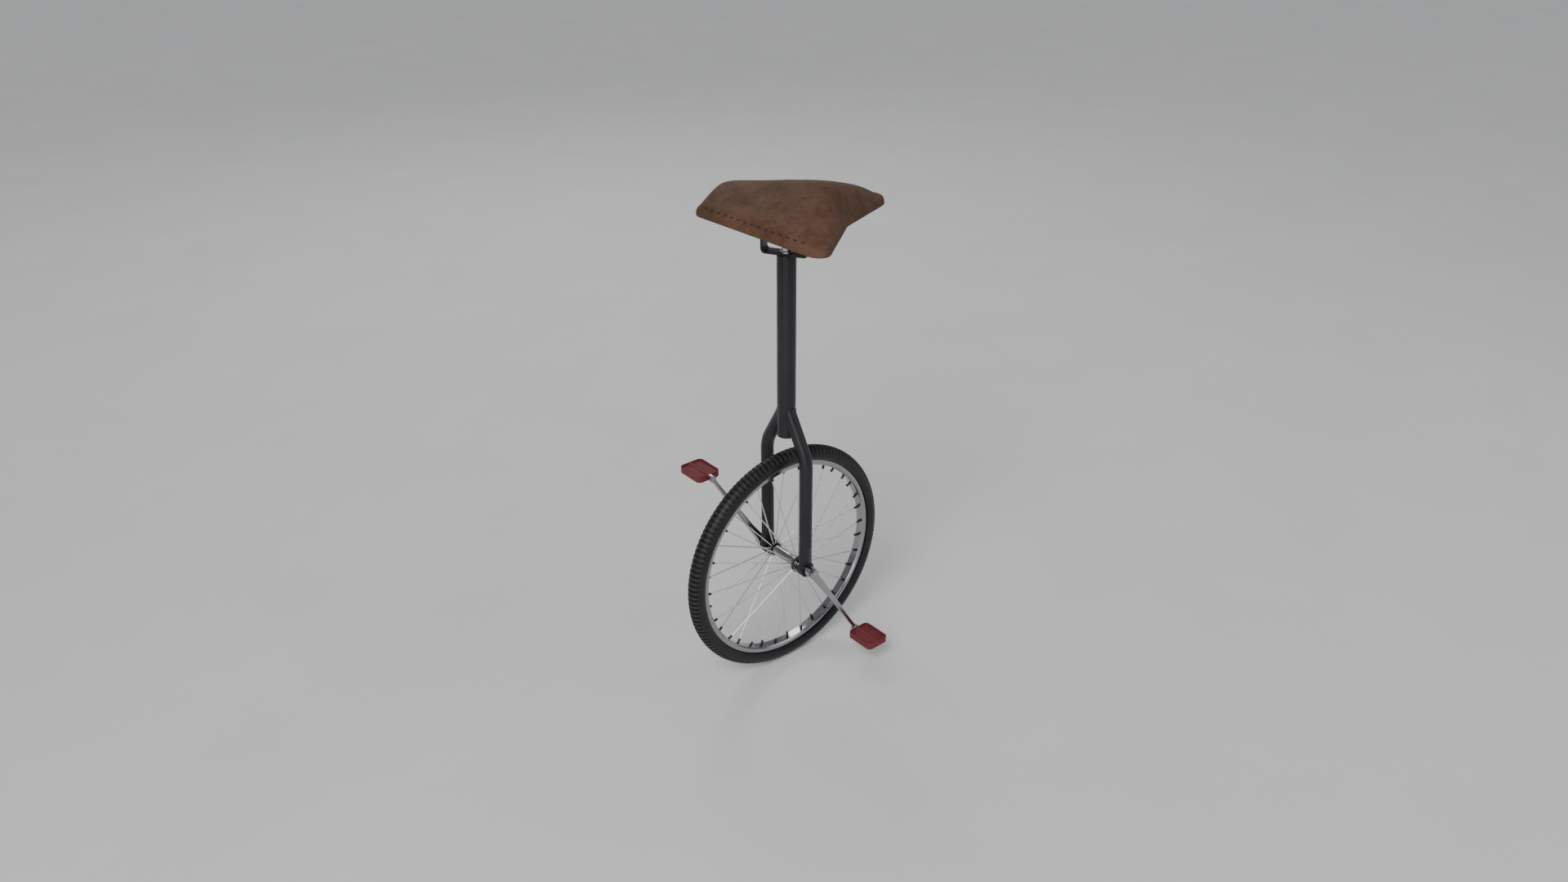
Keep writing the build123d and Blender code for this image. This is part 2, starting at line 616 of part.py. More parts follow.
def saddle_form(inset, drop=0.0):
    """The crowned saddle, drawn in by an even inset; drop carries its underside down."""
    sections = []
    for u, ridge, shoulder, share in SADDLE_STATIONS:
        low = hem_z(u) - drop
        half = hem_half(u) - inset
        side_z = hem_z(u) + SIDE_SHARE * (shoulder - hem_z(u)) - 0.5 * inset
        points = [
            (half, low + HEM_RISE + 0.25 * drop),
            (0.95 * half, side_z),
            (share * half, shoulder - inset),
            (0.42 * half, ridge - CREST_SHARE * (ridge - shoulder) - inset),
            (0, ridge - inset),
        ]
        mirrored = [(-v, z) for v, z in reversed(points[:-1])]
        foot = (half - HEM_TUCK, low)
        plane_u = u - inset if u == SADDLE_NOSE_U else u + inset if u == SADDLE_REAR_U else u
        plane = Plane(origin=(plane_u, 0, 0), x_dir=(0, 1, 0), z_dir=(1, 0, 0))
        top = Spline(*points, *mirrored)
        hem = Polyline((-half, points[0][1]), (-foot[0], low), foot, (half, points[0][1]))
        sections.append(plane * make_face(Curve() + [top, hem]))
    form = loft(sections)
    low = SADDLE_REAR_HEM_Z - 2 * UNDERSIDE_DROP
    return form & extrude(Plane(origin=(0, 0, low)) * saddle_plan(inset), amount=WHEEL_R)


def saddle_plan(inset):
    """The saddle's outline from above: a V at the rear, rounded lobes and nose corners."""
    nose_v = SADDLE_NOSE_HALF - inset + PLAN_SLACK
    rear_v = SADDLE_REAR_HALF - inset + PLAN_SLACK
    nose_u = SADDLE_NOSE_U - inset
    rear_u = SADDLE_REAR_U + inset
    corners = [(nose_u, -nose_v), (nose_u, nose_v), (rear_u, rear_v),
               (SADDLE_NOTCH_U + inset, 0), (rear_u, -rear_v)]
    outline = make_face(Polyline(*corners, close=True))
    outline = fillet(outline.vertices().sort_by(Axis.X)[:2], SADDLE_LOBE_R - inset)
    return fillet(outline.vertices().sort_by(Axis.X)[-2:], SADDLE_NOSE_CORNER_R - inset)


def hem_slab(low, high):
    """The space between two heights over the sloping hem plane."""
    middle_u = (SADDLE_NOSE_U + SADDLE_REAR_U) / 2
    block = Box(TRIM_SIZE, TRIM_SIZE, high - low, align=(Align.CENTER, Align.CENTER, Align.MIN))
    tilt = -degrees(atan2(HEM_SLOPE, 1))
    return Pos(middle_u, 0, hem_z(middle_u) + low) * (Rot(0, tilt, 0) * block)


def saddle_cover():
    return saddle_form(0.0) - saddle_form(COVER_THICKNESS, UNDERSIDE_DROP)


def rivet(u, v, grow=0.0):
    """A rivet square to the hem plane, through the strap's flange and the base plate."""
    tilt = Rot(0, -degrees(atan2(HEM_SLOPE, 1)), 0)
    under = BASE_FLOOR - STRAP_BASE_GAP - STRAP_THICKNESS
    over = BASE_FLOOR + BASE_THICKNESS
    head_r = RIVET_HEAD_R + grow
    shank = rod(RIVET_R + grow, (0, 0, under), (0, 0, over + LOOSE_GAP))
    low_head = rod(head_r, (0, 0, under - RIVET_HEAD_THICKNESS), (0, 0, under - FACE_GAP))
    high_head = rod(head_r, (0, 0, over + FACE_GAP), (0, 0, over + RIVET_HEAD_THICKNESS + grow))
    core = rod(RIVET_R - 0.5 + grow, (0, 0, under - 0.5), (0, 0, over + 0.5))
    return Pos(u, v, hem_z(u)) * (tilt * (shank + low_head + high_head + core))


def rivet_places():
    return [(u, v) for u in (-RIVET_U, RIVET_U) for v in (-RIVET_V, RIVET_V)]


def saddle_base():
    plate = saddle_form(BASE_INSET, UNDERSIDE_DROP) & hem_slab(BASE_FLOOR, BASE_FLOOR + BASE_THICKNESS)
    for u, v in rivet_places():
        plate -= rivet(u, v, grow=LOOSE_GAP)
    return plate


def foam_pad():
    form = saddle_form(COVER_THICKNESS + PAD_GAP, UNDERSIDE_DROP)
    pad = form & hem_slab(BASE_FLOOR + BASE_THICKNESS + 0.2, 100)
    for u, v in rivet_places():
        pad -= rivet(u, v, grow=0.3)
    return pad


def saddle_strap():
    """Flat steel bent to a U, with flanges that follow the saddle's base."""
    under = BASE_FLOOR - STRAP_BASE_GAP - STRAP_THICKNESS / 2
    low = STRAP_BOTTOM + STRAP_THICKNESS / 2
    outline = [(u, 0, hem_z(u) + under) for u in (-STRAP_FLANGE_END, -STRAP_HALF_SPAN)]
    outline += [(-STRAP_HALF_SPAN, 0, low), (STRAP_HALF_SPAN, 0, low)]
    outline += [(u, 0, hem_z(u) + under) for u in (STRAP_HALF_SPAN, STRAP_FLANGE_END)]
    path = FilletPolyline(*outline, radius=STRAP_BEND_R)
    start = Plane(origin=outline[0], x_dir=(0, 1, 0), z_dir=(1, 0, HEM_SLOPE))
    strap = sweep(start * Rectangle(STRAP_WIDTH, STRAP_THICKNESS), path=path)
    strap -= rod(BOLT_R + 0.08, (0, 0, STRAP_BOTTOM - 5), (0, 0, STRAP_BOTTOM + 10))
    for u, v in rivet_places():
        strap -= rivet(u, v, grow=FACE_GAP)
    return strap


def saddle_rivets():
    return group(rivet(u, v) for u, v in rivet_places())


# ------------------------------------------------------------------ assembly
def add_wheel():
    parts["tyre"] = TO_HUB * tyre()
    parts["inner_tube"] = TO_HUB * inner_tube()
    parts["rim_tape"] = TO_HUB * rim_tape()
    parts["rim"] = TO_HUB * rim()
    parts["valve_stem"] = TO_HUB * valve_stem()
    parts["valve_cap"] = TO_HUB * valve_cap()
    parts["hub_axle"] = TO_HUB * hub_axle()
    parts["hub_shell"] = TO_HUB * hub_shell()
    parts["spoke_nipples"] = TO_HUB * group(
        around(nipple(side), angle) for side in SIDES.values() for angle in spoke_angles(side))
    parts["crank_nuts"] = TO_HUB * group(crank_nut(side) for side in SIDES.values())


def add_side(name, side):
    turn = CRANK_ANGLE if side < 0 else CRANK_ANGLE + 180
    pedal_x, pedal_z = polar(CRANK_LENGTH, -turn)
    at_pedal = Pos(pedal_x, 0, pedal_z + WHEEL_R)
    parts[f"{name}_spokes"] = TO_HUB * group(around(spoke(side), a) for a in spoke_angles(side))
    parts[f"{name}_hub_flange"] = TO_HUB * hub_flange(side)
    parts[f"{name}_axle_spacers"] = TO_HUB * axle_spacers(side)
    parts[f"{name}_inner_race"] = TO_HUB * race(INNER_RACE_R, BEARING_BORE_R, FIT_GAP, side)
    parts[f"{name}_outer_race"] = TO_HUB * race(BEARING_OUTER_R, OUTER_RACE_R, BALL_PLAY, side)
    parts[f"{name}_bearing_balls"] = TO_HUB * bearing_balls(side)
    parts[f"{name}_ball_cage"] = TO_HUB * ball_cage(side)
    parts[f"{name}_bearing_seals"] = TO_HUB * bearing_seals(side)
    parts[f"{name}_bearing_housing"] = TO_HUB * bearing_housing(side)
    parts[f"{name}_fork_leg"] = fork_leg(side)
    parts[f"{name}_crank"] = TO_HUB * around(crank(side), -turn)
    parts[f"{name}_pedal_spindle"] = at_pedal * pedal_spindle(side)
    parts[f"{name}_pedal_body"] = at_pedal * pedal_body(side)
    parts[f"{name}_pedal_bushes"] = at_pedal * pedal_bushes(side)
    parts[f"{name}_pedal_nut"] = at_pedal * pedal_nut(side)
    parts[f"{name}_pedal_cap"] = at_pedal * pedal_cap(side)


def add_saddle():
    turned = Rot(0, 0, SADDLE_YAW)
    parts["seat_tube"] = seat_tube()
    parts["stem_tube"] = stem_tube()
    parts["stem_plug"] = stem_plug()
    parts["expander_wedge"] = expander_wedge()
    parts["clamp_bolt"] = clamp_bolt()
    parts["clamp_washer"] = clamp_washer()
    parts["saddle_strap"] = turned * saddle_strap()
    parts["saddle_rivets"] = turned * saddle_rivets()
    parts["saddle_base"] = turned * saddle_base()
    parts["foam_pad"] = turned * foam_pad()
    parts["saddle_cover"] = turned * saddle_cover()


add_wheel()
for side_name, side_sign in SIDES.items():
    add_side(side_name, side_sign)
add_saddle()

os.makedirs("parts", exist_ok=True)
for node, shape in parts.items():
    export_step(shape, f"parts/{node}.step")
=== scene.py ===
import math

import bmesh
import bpy
import numpy as np
from mathutils import Matrix, Vector, noise


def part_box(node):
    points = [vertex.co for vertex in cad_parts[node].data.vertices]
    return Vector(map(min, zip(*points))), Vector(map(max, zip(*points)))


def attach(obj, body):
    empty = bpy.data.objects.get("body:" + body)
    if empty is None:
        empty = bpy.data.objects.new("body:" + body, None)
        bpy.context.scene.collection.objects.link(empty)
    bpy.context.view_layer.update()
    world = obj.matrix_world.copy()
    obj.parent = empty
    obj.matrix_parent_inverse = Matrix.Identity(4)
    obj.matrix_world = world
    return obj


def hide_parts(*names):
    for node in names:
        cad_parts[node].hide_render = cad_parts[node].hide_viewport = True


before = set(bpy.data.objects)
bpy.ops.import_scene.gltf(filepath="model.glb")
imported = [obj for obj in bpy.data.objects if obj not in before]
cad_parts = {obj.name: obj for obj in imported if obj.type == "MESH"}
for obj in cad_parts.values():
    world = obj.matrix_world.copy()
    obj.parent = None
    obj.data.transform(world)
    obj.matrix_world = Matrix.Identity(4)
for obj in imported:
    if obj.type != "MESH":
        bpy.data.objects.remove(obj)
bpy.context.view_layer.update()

# A 16-inch unicycle in metres.  The origin is where the tyre touches the ground, +Z is up,
# the axle lies along Y and the rider's left side is -Y.

# ------------------------------------------------------------------ sizes read from the frame
tyre_low, tyre_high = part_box("tyre")
WHEEL_R = (tyre_high.z - tyre_low.z) / 2
SECTION_R = (tyre_high.y - tyre_low.y) / 2
RING_R = WHEEL_R - SECTION_R
rim_low, rim_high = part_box("rim")
RIM_EDGE_R = (rim_high.z - rim_low.z) / 2

# ------------------------------------------------------------------ camera
CAMERA_AZIMUTH = -40.06
CAMERA_ELEVATION = 27.86
CAMERA_DISTANCE = 1.9589
CAMERA_TARGET = Vector((-0.00295, 0.00248, 0.4239))
CAMERA_LENS = 27.82


def add_camera():
    a = math.radians(CAMERA_AZIMUTH)
    e = math.radians(CAMERA_ELEVATION)
    back = Vector((math.sin(a) * math.cos(e), -math.cos(a) * math.cos(e), math.sin(e)))
    data = bpy.data.cameras.new("camera")
    data.lens = CAMERA_LENS
    data.sensor_width = 36.0
    data.clip_start = 0.01
    camera = bpy.data.objects.new("camera", data)
    camera.location = CAMERA_TARGET + back * CAMERA_DISTANCE
    camera.rotation_euler = (-back).to_track_quat("-Z", "Y").to_euler()
    bpy.context.scene.collection.objects.link(camera)
    bpy.context.scene.camera = camera


# ------------------------------------------------------------------ material helpers
class Finish:
    """A node material under construction: a Principled shader and its object coordinates."""

    def __init__(self, name, **sockets):
        self.material = bpy.data.materials.new(name)
        self.material.use_nodes = True
        self.tree = self.material.node_tree
        self.shader = self.tree.nodes["Principled BSDF"]
        self.place = self.tree.nodes.new("ShaderNodeTexCoord").outputs["Object"]
        for key, value in sockets.items():
            self.shader.inputs[key.replace("_", " ")].default_value = value

    def link(self, output, key):
        self.tree.links.new(output, self.shader.inputs[key])

    def noise(self, scale, detail=4.0, roughness=0.55, stretch=None, distortion=0.0):
        node = self.tree.nodes.new("ShaderNodeTexNoise")
        node.inputs["Scale"].default_value = scale
        node.inputs["Detail"].default_value = detail
        node.inputs["Roughness"].default_value = roughness
        node.inputs["Distortion"].default_value = distortion
        place = self.place
        if stretch:
            mapping = self.tree.nodes.new("ShaderNodeMapping")
            mapping.inputs["Scale"].default_value = stretch
            self.tree.links.new(place, mapping.inputs["Vector"])
            place = mapping.outputs["Vector"]
        self.tree.links.new(place, node.inputs["Vector"])
        return node.outputs["Fac"]

    def cells(self, scale, feature="F1"):
        node = self.tree.nodes.new("ShaderNodeTexVoronoi")
        node.feature = feature
        node.inputs["Scale"].default_value = scale
        self.tree.links.new(self.place, node.inputs["Vector"])
        return node.outputs["Distance"]

    def ramp(self, fac, *stops):
        node = self.tree.nodes.new("ShaderNodeValToRGB")
        elements = node.color_ramp.elements
        while len(elements) < len(stops):
            elements.new(0.5)
        for element, (position, value) in zip(elements, stops):
            element.position = position
            colour = (value, value, value) if isinstance(value, float) else value
            element.color = (*colour, 1.0)
        self.tree.links.new(fac, node.inputs["Fac"])
        return node.outputs["Color"]

    def mix(self, fac, first, second, mode="MIX"):
        node = self.tree.nodes.new("ShaderNodeMix")
        node.data_type = "RGBA"
        node.blend_type = mode
        for socket, value in ((node.inputs["Factor"], fac), (node.inputs["A"], first),
                              (node.inputs["B"], second)):
            self.put(value, socket)
        return node.outputs["Result"]

    def math(self, operation, *values):
        node = self.tree.nodes.new("ShaderNodeMath")
        node.operation = operation
        for socket, value in zip(node.inputs, values):
            self.put(value, socket)
        return node.outputs["Value"]

    def put(self, value, socket):
        if isinstance(value, bpy.types.NodeSocket):
            self.tree.links.new(value, socket)
        elif isinstance(value, tuple):
            socket.default_value = (*value, 1.0)
        else:
            socket.default_value = value

    def axes(self):
        node = self.tree.nodes.new("ShaderNodeSeparateXYZ")
        self.tree.links.new(self.place, node.inputs["Vector"])
        return node.outputs["X"], node.outputs["Y"], node.outputs["Z"]

    def bump(self, height, strength, distance, under=None):
        node = self.tree.nodes.new("ShaderNodeBump")
        node.inputs["Strength"].default_value = strength
        node.inputs["Distance"].default_value = distance
        self.tree.links.new(height, node.inputs["Height"])
        if under is not None:
            self.tree.links.new(under, node.inputs["Normal"])
        return node.outputs["Normal"]


# ------------------------------------------------------------------ materials
def enamel(name, low, high, roughness=(0.30, 0.46), chips=0.72):
    """Stoved paint: faint clouding, orange peel, and small chips that show bare steel."""
    f = Finish(name, Metallic=0.0, Coat_Weight=0.06, Coat_Roughness=0.22, Specular_IOR_Level=0.3)
    paint = f.ramp(f.noise(14.0, 5.0, 0.6), (0.3, low), (0.7, high))
    chip = f.ramp(f.noise(190.0, 6.0, 0.7), (chips, 0.0), (chips + 0.015, 1.0))
    zone = f.ramp(f.noise(9.0, 2.0), (0.48, 0.0), (0.62, 1.0))
    worn = f.math("MULTIPLY", chip, zone)
    f.link(f.mix(worn, paint, (0.16, 0.15, 0.145)), "Base Color")
    f.link(f.ramp(f.noise(40.0, 4.0), (0.3, roughness[0]), (0.75, roughness[1])), "Roughness")
    peel = f.bump(f.noise(900.0, 2.0), 0.06, 0.0004)
    f.link(f.bump(worn, 0.35, 0.0003, peel), "Normal")
    return f.material


def chrome(name, tint, roughness=(0.07, 0.24), spots=0.66, scratches=0.035):
    """Plated steel with smears, fine scratches and a little brown staining."""
    f = Finish(name, Metallic=1.0)
    smear = f.noise(34.0, 6.0, 0.62)
    stain = f.ramp(f.noise(70.0, 8.0, 0.7), (spots, 0.0), (spots + 0.12, 1.0))
    f.link(f.mix(stain, tint, (0.33, 0.235, 0.17)), "Base Color")
    dull = f.ramp(smear, (0.35, roughness[0]), (0.72, roughness[1]))
    f.link(f.mix(stain, dull, (0.5, 0.5, 0.5)), "Roughness")
    scratch = f.noise(1500.0, 2.0, 0.5, (1.0, 0.12, 1.0))
    f.link(f.bump(scratch, scratches, 0.0002), "Normal")
    return f.material


def turned_metal(name, tint, roughness=(0.22, 0.4), metallic=1.0):
    """Machined metal with fine tool marks and an oily bloom."""
    f = Finish(name, Metallic=metallic)
    bloom = f.noise(120.0, 5.0, 0.6)
    darker = tuple(0.72 * c for c in tint)
    f.link(f.ramp(bloom, (0.3, tint), (0.75, darker)), "Base Color")
    f.link(f.ramp(bloom, (0.3, roughness[0]), (0.7, roughness[1])), "Roughness")
    f.link(f.bump(f.noise(2400.0, 2.0, 0.5, (1.0, 0.25, 1.0)), 0.08, 0.0002), "Normal")
    return f.material


def moulded(name, low, high, roughness=(0.34, 0.52), grain=0.12, scuffed=0.45, shine=0.45):
    """Moulded plastic or rubber: fine spark-eroded grain, scuffs and uneven gloss."""
    f = Finish(name, Specular_IOR_Level=shine)
    scuff = f.ramp(f.noise(260.0, 7.0, 0.72), (0.58, 0.0), (0.72, 1.0))
    body = f.ramp(f.noise(45.0, 5.0, 0.6), (0.3, low), (0.72, high))
    pale = tuple(min(1.0, 1.5 * c + 0.02) for c in high)
    f.link(f.mix(f.math("MULTIPLY", scuff, scuffed), body, pale), "Base Color")
    f.link(f.ramp(f.noise(80.0, 5.0), (0.3, roughness[0]), (0.75, roughness[1])), "Roughness")
    f.link(f.bump(f.noise(2600.0, 3.0, 0.6), grain, 0.0003), "Normal")
    return f.material


def tyre_rubber():
    """Black rubber, worn smooth and shiny on the shoulders and dull in the tread, with painted shade
    darkening the grooves.
    """
    f = Finish("tyre_rubber", Specular_IOR_Level=0.27)
    x, y, z = f.axes()
    up = f.math("SUBTRACT", z, WHEEL_R)
    out = f.math("SQRT", f.math("ADD", f.math("MULTIPLY", x, x), f.math("MULTIPLY", up, up)))
    over = f.math("SUBTRACT", out, RING_R)
    reach = f.math("SQRT", f.math("ADD", f.math("MULTIPLY", over, over), f.math("MULTIPLY", y, y)))
    depth = f.math("DIVIDE", f.math("SUBTRACT", SECTION_R, reach), TREAD_DEPTH)
    groove = f.ramp(depth, (0.25, 0.0), (0.8, 1.0))
    tread = f.ramp(f.math("DIVIDE", over, SECTION_R), (0.34, 0.0), (0.50, 1.0))
    wall = f.ramp(f.noise(30.0, 6.0, 0.62),
                  (0.3, (0.009, 0.0085, 0.0098)), (0.72, (0.019, 0.0175, 0.0200)))
    # painted shade: the lug gaps and the ring groove are coloured darker than the rubber around them
    groove_shade = f.ramp(f.noise(85.0, 6.0, 0.7),
                   (0.35, (0.003, 0.0030, 0.003)), (0.75, (0.014, 0.0125, 0.012)))
    worn = f.ramp(f.noise(140.0, 5.0, 0.7),
                  (0.3, (0.014, 0.0135, 0.0140)), (0.7, (0.040, 0.0385, 0.039)))
    shade = f.mix(f.math("MULTIPLY", tread, 0.85), wall, worn)
    # the painted shade colour replaces the rubber wherever the surface is cut below the tread
    f.link(f.mix(groove, shade, groove_shade), "Base Color")
    shoulder = f.ramp(f.noise(22.0, 5.0), (0.3, 0.24), (0.75, 0.38))
    f.link(f.mix(tread, shoulder, (0.48, 0.48, 0.48)), "Roughness")
    fine = f.bump(f.noise(1700.0, 3.0, 0.6), 0.10, 0.0003)
    f.link(f.bump(f.noise(160.0, 5.0, 0.7), 0.10, 0.0006, fine), "Normal")
    return f.material


def suede():
    """Brown napped leather: broad mottling, darker handled patches and a short fibre nap."""
    f = Finish("saddle_suede", Specular_IOR_Level=0.18, Sheen_Weight=0.04, Sheen_Roughness=0.45)
    f.shader.inputs["Sheen Tint"].default_value = (0.85, 0.66, 0.52, 1.0)
    broad = f.ramp(f.noise(11.0, 5.0, 0.62, None, 0.4),
                   (0.28, (0.070, 0.043, 0.025)), (0.50, (0.112, 0.058, 0.036)),
                   (0.74, (0.156, 0.080, 0.054)))
    patch = f.ramp(f.noise(38.0, 7.0, 0.72, None, 0.8),
                   (0.30, (0.60, 0.56, 0.54)), (0.55, (1.0, 1.0, 1.0)), (0.80, (1.22, 1.18, 1.12)))
    nap = f.ramp(f.noise(420.0, 6.0, 0.75, (1.0, 0.45, 1.0)),
                 (0.30, (0.74, 0.73, 0.72)), (0.72, (1.20, 1.20, 1.20)))
    pores = f.ramp(f.cells(640.0), (0.04, (0.68, 0.66, 0.64)), (0.26, (1.0, 1.0, 1.0)))
    hide = f.mix(1.0, broad, patch, "MULTIPLY")
    hide = f.mix(1.0, hide, nap, "MULTIPLY")
    f.link(f.mix(0.55, hide, f.mix(1.0, hide, pores, "MULTIPLY")), "Base Color")
    f.link(f.ramp(f.noise(30.0, 5.0), (0.3, 0.66), (0.72, 0.88)), "Roughness")
    fibre = f.bump(f.noise(1500.0, 4.0, 0.7, (1.0, 0.4, 1.0)), 0.22, 0.0004)
    grain = f.bump(f.cells(520.0, "SMOOTH_F1"), 0.16, 0.0005, fibre)
    f.link(f.bump(f.noise(60.0, 5.0, 0.65), 0.12, 0.0022, grain), "Normal")
    return f.material


def thread():
    """Waxed brown-black thread, twisted."""
    f = Finish("saddle_thread", Roughness=0.55, Specular_IOR_Level=0.35)
    f.link(f.ramp(f.noise(900.0, 3.0), (0.3, (0.014, 0.008, 0.005)), (0.7, (0.034, 0.020, 0.012))),
           "Base Color")
    f.link(f.bump(f.noise(2600.0, 2.0), 0.3, 0.0003), "Normal")
    return f.material


def foam():
    """Yellowed open-cell foam."""
    f = Finish("pad_foam", Roughness=0.9, Specular_IOR_Level=0.2)
    f.link(f.ramp(f.noise(60.0, 5.0), (0.3, (0.55, 0.43, 0.20)), (0.7, (0.70, 0.58, 0.32))),
           "Base Color")
    f.link(f.bump(f.cells(900.0), 0.6, 0.001), "Normal")
    return f.material


def floor_finish():
    """A plain pale studio floor."""
    f = Finish("studio_floor", Specular_IOR_Level=0.25)
    f.link(f.ramp(f.noise(3.0, 4.0), (0.3, (0.72, 0.72, 0.72)), (0.7, (0.75, 0.75, 0.745))),
           "Base Color")
    f.link(f.ramp(f.noise(6.0, 3.0), (0.3, 0.62), (0.7, 0.72)), "Roughness")
    return f.material


FRAME_GREY = ((0.010, 0.0100, 0.0128), (0.018, 0.0178, 0.0218))
RED = ((0.128, 0.022, 0.026), (0.168, 0.034, 0.040))
BLACK = ((0.010, 0.010, 0.011), (0.022, 0.022, 0.023))
PLATE = (0.34, 0.335, 0.35)

NODE_FINISHES = {
    "frame_paint": (enamel("frame_enamel", *FRAME_GREY), "seat_tube", "left_fork_leg",
                    "right_fork_leg", "left_bearing_housing", "right_bearing_housing"),
    "rim_chrome": (chrome("rim_chrome", PLATE, (0.09, 0.26), 0.64), "rim"),
    "hub_chrome": (chrome("hub_chrome", (0.30, 0.29, 0.30), (0.08, 0.22), 0.58), "hub_shell",
                   "left_axle_spacers", "right_axle_spacers"),
    "crank_chrome": (chrome("crank_chrome", (0.38, 0.36, 0.38), (0.10, 0.26), 0.66), "left_crank",
                     "right_crank", "crank_nuts"),
    "spoke_steel": (chrome("spoke_steel", (0.78, 0.78, 0.80), (0.24, 0.32), 0.76, 0.0), "left_spokes",
                    "right_spokes"),
    "hub_black": (enamel("hub_black", *BLACK, (0.35, 0.55), 0.66), "left_hub_flange",
                  "right_hub_flange"),
    "nipple_black": (turned_metal("nipple_black", (0.030, 0.030, 0.031), (0.35, 0.5), 0.6),
                     "spoke_nipples"),
    "bearing_steel": (turned_metal("bearing_steel", (0.62, 0.63, 0.65), (0.12, 0.25)),
                      "left_inner_race", "right_inner_race", "left_outer_race",
                      "right_outer_race", "left_bearing_balls", "right_bearing_balls"),
    "cage_brass": (turned_metal("cage_brass", (0.66, 0.47, 0.20)), "left_ball_cage",
                   "right_ball_cage"),
    "turned_steel": (turned_metal("turned_steel", (0.50, 0.51, 0.53)), "hub_axle",
                     "left_pedal_spindle", "right_pedal_spindle", "stem_tube", "stem_plug",
                     "expander_wedge"),
    "zinc_steel": (turned_metal("zinc_steel", (0.55, 0.56, 0.57), (0.3, 0.48)), "clamp_bolt",
                   "clamp_washer", "saddle_rivets", "left_pedal_nut", "right_pedal_nut"),
    "valve_brass": (turned_metal("valve_brass", (0.62, 0.52, 0.32)), "valve_stem"),
    "strap_enamel": (enamel("strap_enamel", *BLACK, (0.36, 0.52), 0.64), "saddle_strap"),
    "seal_rubber": (moulded("seal_rubber", *BLACK, (0.5, 0.7)), "left_bearing_seals",
                    "right_bearing_seals", "valve_cap", "inner_tube"),
    "tape_rubber": (moulded("tape_rubber", (0.26, 0.05, 0.04), (0.34, 0.08, 0.06)), "rim_tape"),
    "base_plastic": (moulded("base_plastic", *BLACK, (0.45, 0.6), 0.3), "saddle_base"),
    "pedal_red": (moulded("pedal_red", *RED, (0.48, 0.64), 0.10, 0.15, 0.20), "left_pedal_body",
                  "right_pedal_body", "left_pedal_cap", "right_pedal_cap"),
    "bush_nylon": (moulded("bush_nylon", (0.62, 0.60, 0.54), (0.74, 0.72, 0.66)),
                   "left_pedal_bushes", "right_pedal_bushes"),
}


def paint_nodes():
    for finish, *names in NODE_FINISHES.values():
        for name in names:
            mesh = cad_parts[name].data
            if not mesh.materials:
                mesh.materials.append(finish)
            for index in range(len(mesh.materials)):
                mesh.materials[index] = finish


# ------------------------------------------------------------------ mesh helpers
def mesh_object(name, points, faces, material, smooth=True):
    mesh = bpy.data.meshes.new(name)
    mesh.from_pydata([tuple(p) for p in points], [], [tuple(f) for f in faces])
    mesh.validate()
    mesh.materials.append(material)
    for polygon in mesh.polygons:
        polygon.use_smooth = smooth
    mesh.update()
    piece = bpy.data.objects.new(name, mesh)
    bpy.context.scene.collection.objects.link(piece)
    return piece


def loop_faces(rows, columns, close_rows=False, first=0):
    """Quads between rows of points, each row a closed ring of the given number of columns."""
    faces = []
    for i in range(rows if close_rows else rows - 1):
        for j in range(columns):
            a = first + i * columns + j
            b = first + i * columns + (j + 1) % columns
            c = first + ((i + 1) % rows) * columns + (j + 1) % columns
            d = first + ((i + 1) % rows) * columns + j
            faces.append((a, b, c, d))
    return faces


# ------------------------------------------------------------------ tyre
TREAD_DEPTH = 0.0015
LUGS = 144
# place within one lug's pitch, and 1 on the lug or 0 in the gap
LUG_COLUMNS = ((0.0, 0.0), (0.06, 1.0), (0.29, 1.0), (0.52, 1.0), (0.58, 0.0), (0.79, 0.0))
CENTRE_BAND_END = 12.0       # degrees round the section from the crown
GROOVE_START, GROOVE_END = 12.8, 14.6
SIDE_START, SIDE_END = 15.4, 61.0
SIDE_STEPS = 7
SHOULDER_START = 64.0
SHOULDER_STEPS = 8
RIM_CLEARANCE = 0.0004
GROOVE_SHARE = 0.8           # depth of the ring groove over the depth between lugs
BEAD_OUTER, BEAD_INNER, BEAD_FOOT = 0.0076, 0.0044, 0.1734
CAVITY_R = 0.0116
CAVITY_STEPS = 24


def tread_rows():
    """Section angles in degrees from the crown with how far lug gaps and ring groove cut there."""
    half = [(0.0, 1.0, 0.0), (6.0, 1.0, 0.0), (CENTRE_BAND_END, 1.0, 0.0),
            (GROOVE_START, 1.0, GROOVE_SHARE), (GROOVE_END, 1.0, GROOVE_SHARE)]
    for step in range(SIDE_STEPS + 1):
        half.append((SIDE_START + (SIDE_END - SIDE_START) * step / SIDE_STEPS, 1.0, 0.0))
    half.append((SHOULDER_START, 0.0, 0.0))
    last = math.degrees(math.acos((RIM_EDGE_R + RIM_CLEARANCE - RING_R) / SECTION_R))
    for step in range(1, SHOULDER_STEPS + 1):
        half.append((SHOULDER_START + (last - SHOULDER_START) * step / SHOULDER_STEPS, 0.0, 0.0))
    return [(-a, g, r) for a, g, r in reversed(half[1:])] + half


